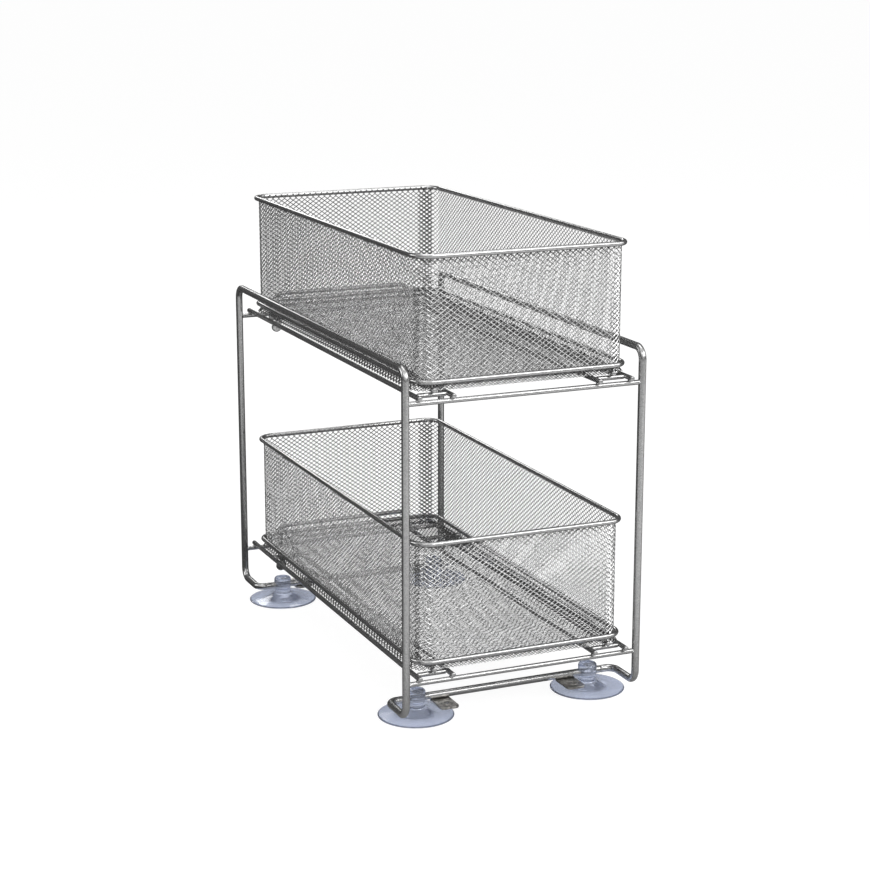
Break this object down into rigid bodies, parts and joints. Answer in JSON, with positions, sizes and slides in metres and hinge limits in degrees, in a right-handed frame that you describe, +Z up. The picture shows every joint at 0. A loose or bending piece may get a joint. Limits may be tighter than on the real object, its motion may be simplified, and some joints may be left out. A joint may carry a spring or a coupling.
{
  "type": "under sink organizer",
  "caption": "Two-tier wire organizer with sliding mesh baskets that pull out on rails, in a bent-wire frame on suction cups.",
  "frame": {"origin": "middle of the footprint, on the surface that the suction cups stand on", "axes": "+X across to the right, +Y from the front to the back, +Z up; the baskets pull out towards -Y"},
  "size_m": [0.224, 0.419, 0.3915],
  "materials": {
    "wire": "satin silver",
    "mesh": "satin silver",
    "plate": "satin silver",
    "cup": "clear bluish soft plastic"
  },
  "bodies": {
    "frame": {"left_side_wire": "wire", "right_side_wire": "wire", "front_base_wire": "wire", "rear_base_wire": "wire", "front_lower_cross_wire": "wire", "rear_lower_cross_wire": "wire", "front_upper_cross_wire": "wire", "rear_upper_cross_wire": "wire", "lower_left_outer_rail": "wire", "lower_left_inner_rail": "wire", "lower_right_outer_rail": "wire", "lower_right_inner_rail": "wire", "upper_left_outer_rail": "wire", "upper_left_inner_rail": "wire", "upper_right_outer_rail": "wire", "upper_right_inner_rail": "wire", "lower_left_rung": "wire", "lower_right_rung": "wire", "upper_left_rung": "wire", "upper_right_rung": "wire", "lower_back_stop": "wire", "upper_back_stop": "wire", "front_left_foot_plate": "plate", "front_right_foot_plate": "plate", "rear_left_foot_plate": "plate", "rear_right_foot_plate": "plate", "front_left_suction_cup": "cup", "front_right_suction_cup": "cup", "rear_left_suction_cup": "cup", "rear_right_suction_cup": "cup"},
    "lower_basket": {"lower_rim_wire": "wire", "lower_ring_wire": "wire", "lower_left_mesh": "mesh", "lower_right_mesh": "mesh", "lower_front_mesh": "mesh", "lower_rear_mesh": "mesh", "lower_corner_mesh": "mesh", "lower_floor_mesh": "mesh", "lower_left_runner": "wire", "lower_left_glide_bar": "wire", "lower_left_retainer": "wire", "lower_right_runner": "wire", "lower_right_glide_bar": "wire", "lower_right_retainer": "wire"},
    "upper_basket": {"upper_rim_wire": "wire", "upper_ring_wire": "wire", "upper_left_mesh": "mesh", "upper_right_mesh": "mesh", "upper_front_mesh": "mesh", "upper_rear_mesh": "mesh", "upper_corner_mesh": "mesh", "upper_floor_mesh": "mesh", "upper_left_runner": "wire", "upper_left_glide_bar": "wire", "upper_left_retainer": "wire", "upper_right_runner": "wire", "upper_right_glide_bar": "wire", "upper_right_retainer": "wire"}
  },
  "joints": [
    {"name": "lower_basket_slide", "type": "slide", "parent": "frame", "child": "lower_basket", "axis": [0, -1, 0], "range_m": [-0.006, 0.33]},
    {"name": "upper_basket_slide", "type": "slide", "parent": "frame", "child": "upper_basket", "axis": [0, -1, 0], "range_m": [-0.006, 0.33]}
  ]
}
